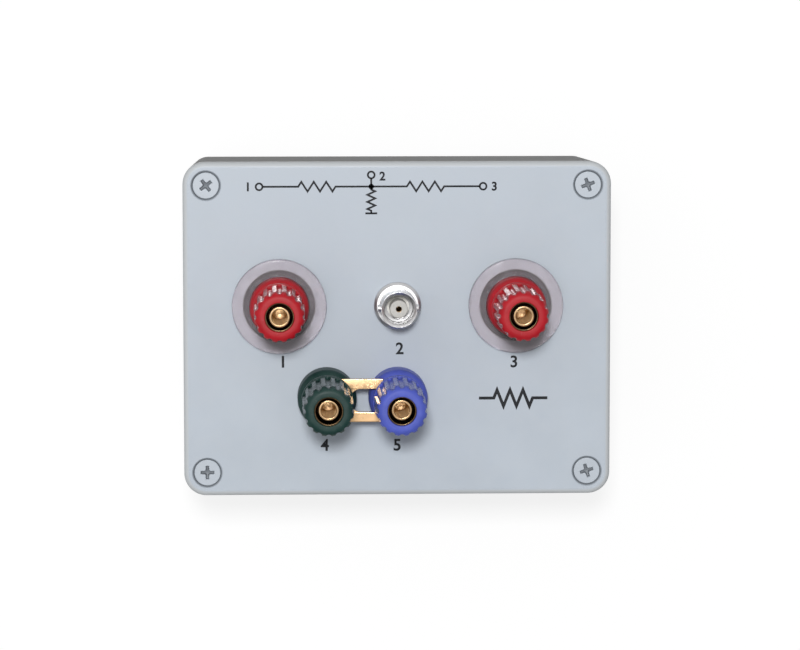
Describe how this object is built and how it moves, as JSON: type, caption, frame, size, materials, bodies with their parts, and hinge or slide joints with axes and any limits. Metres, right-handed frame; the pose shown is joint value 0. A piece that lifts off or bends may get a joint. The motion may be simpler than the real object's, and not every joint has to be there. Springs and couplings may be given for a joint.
{
  "type": "standard resistor",
  "caption": "Screened high-value resistance standard in a die-cast box, with screw-down binding posts, a guard link and a coaxial tap jack on its panel.",
  "frame": {"origin": "on the bench, under the middle of the box, which lies on its back", "axes": "+X to the right along the panel's long side, +Y to the top edge of the panel, +Z out of the panel"},
  "size_m": [0.115, 0.09, 0.0925],
  "materials": {
    "cast_grey": "satin paint over die-cast aluminium",
    "panel_grey": "pale blue-grey satin paint",
    "screw_steel": "screw heads painted like the panel",
    "rubber": "matte black rubber",
    "clear_plastic": "clear, slightly milky plastic",
    "white_plastic": "off-white fluoropolymer",
    "red_plastic": "glossy red moulding",
    "green_plastic": "glossy dark green moulding",
    "blue_plastic": "glossy blue moulding",
    "gold_plate": "polished gold plating",
    "nickel": "bright nickel plating",
    "brown_glaze": "brown conformal coating",
    "green_glaze": "green conformal coating",
    "tinned_copper": "dull tinned copper"
  },
  "bodies": {
    "housing": {"enclosure_body": "cast_grey", "front_panel": "panel_grey", "panel_screws": "screw_steel", "rubber_feet": "rubber", "source_disc": "clear_plastic", "output_disc": "clear_plastic", "source_rear_disc": "clear_plastic", "output_rear_disc": "clear_plastic", "guard_rear_washer": "white_plastic", "ground_rear_washer": "nickel", "source_base": "red_plastic", "output_base": "red_plastic", "ground_base": "green_plastic", "guard_base": "blue_plastic", "source_stud": "gold_plate", "output_stud": "gold_plate", "ground_stud": "gold_plate", "guard_stud": "gold_plate", "post_nuts": "nickel", "post_lock_washers": "nickel", "source_solder_lug": "gold_plate", "output_solder_lug": "gold_plate", "guard_solder_lug": "gold_plate", "tap_jack_shell": "nickel", "tap_jack_insulator": "white_plastic", "tap_jack_contact": "gold_plate", "tap_jack_nut": "nickel", "tap_jack_lock_washer": "nickel", "source_resistor": "brown_glaze", "output_resistor": "brown_glaze", "shunt_resistor": "green_glaze", "source_resistor_leads": "tinned_copper", "output_resistor_leads": "tinned_copper", "shunt_resistor_leads": "tinned_copper"},
    "source_clamp": {"source_clamp_washer": "gold_plate"},
    "source_knob_body": {"source_knob": "red_plastic", "source_knob_insert": "gold_plate"},
    "output_clamp": {"output_clamp_washer": "gold_plate"},
    "output_knob_body": {"output_knob": "red_plastic", "output_knob_insert": "gold_plate"},
    "ground_clamp": {"ground_clamp_washer": "gold_plate"},
    "ground_knob_body": {"ground_knob": "green_plastic", "ground_knob_insert": "gold_plate"},
    "guard_clamp": {"guard_clamp_washer": "gold_plate"},
    "guard_knob_body": {"guard_knob": "blue_plastic", "guard_knob_insert": "gold_plate"},
    "link": {"shorting_link": "gold_plate"}
  },
  "joints": [
    {"name": "source_lift", "type": "slide", "parent": "housing", "child": "source_clamp", "axis": [0, 0, 1], "range_m": [0, 0.005]},
    {"name": "source_turn", "type": "hinge", "parent": "source_clamp", "child": "source_knob_body", "pos_m": [-0.03175, 0.0064, 0.0897], "axis": [0, 0, 1], "range_deg": [0, 1800]},
    {"name": "output_lift", "type": "slide", "parent": "housing", "child": "output_clamp", "axis": [0, 0, 1], "range_m": [0, 0.005]},
    {"name": "output_turn", "type": "hinge", "parent": "output_clamp", "child": "output_knob_body", "pos_m": [0.03175, 0.0064, 0.0897], "axis": [0, 0, 1], "range_deg": [0, 1800]},
    {"name": "ground_lift", "type": "slide", "parent": "housing", "child": "ground_clamp", "axis": [0, 0, 1], "range_m": [0, 0.005]},
    {"name": "ground_turn", "type": "hinge", "parent": "ground_clamp", "child": "ground_knob_body", "pos_m": [-0.01905, -0.01805, 0.0897], "axis": [0, 0, 1], "range_deg": [0, 1800]},
    {"name": "guard_lift", "type": "slide", "parent": "housing", "child": "guard_clamp", "axis": [0, 0, 1], "range_m": [0, 0.005]},
    {"name": "guard_turn", "type": "hinge", "parent": "guard_clamp", "child": "guard_knob_body", "pos_m": [0, -0.01805, 0.0897], "axis": [0, 0, 1], "range_deg": [0, 1800]},
    {"name": "link_swing", "type": "hinge", "parent": "housing", "child": "link", "pos_m": [-0.01905, -0.01805, 0.068], "axis": [0, 0, 1], "range_deg": [-90, 0]}
  ],
  "couplings": [
    {"joint": "source_lift", "follows": "source_turn", "m_per_rad": 0.00015915},
    {"joint": "output_lift", "follows": "output_turn", "m_per_rad": 0.00015915},
    {"joint": "ground_lift", "follows": "ground_turn", "m_per_rad": 0.00015915},
    {"joint": "guard_lift", "follows": "guard_turn", "m_per_rad": 0.00015915}
  ]
}
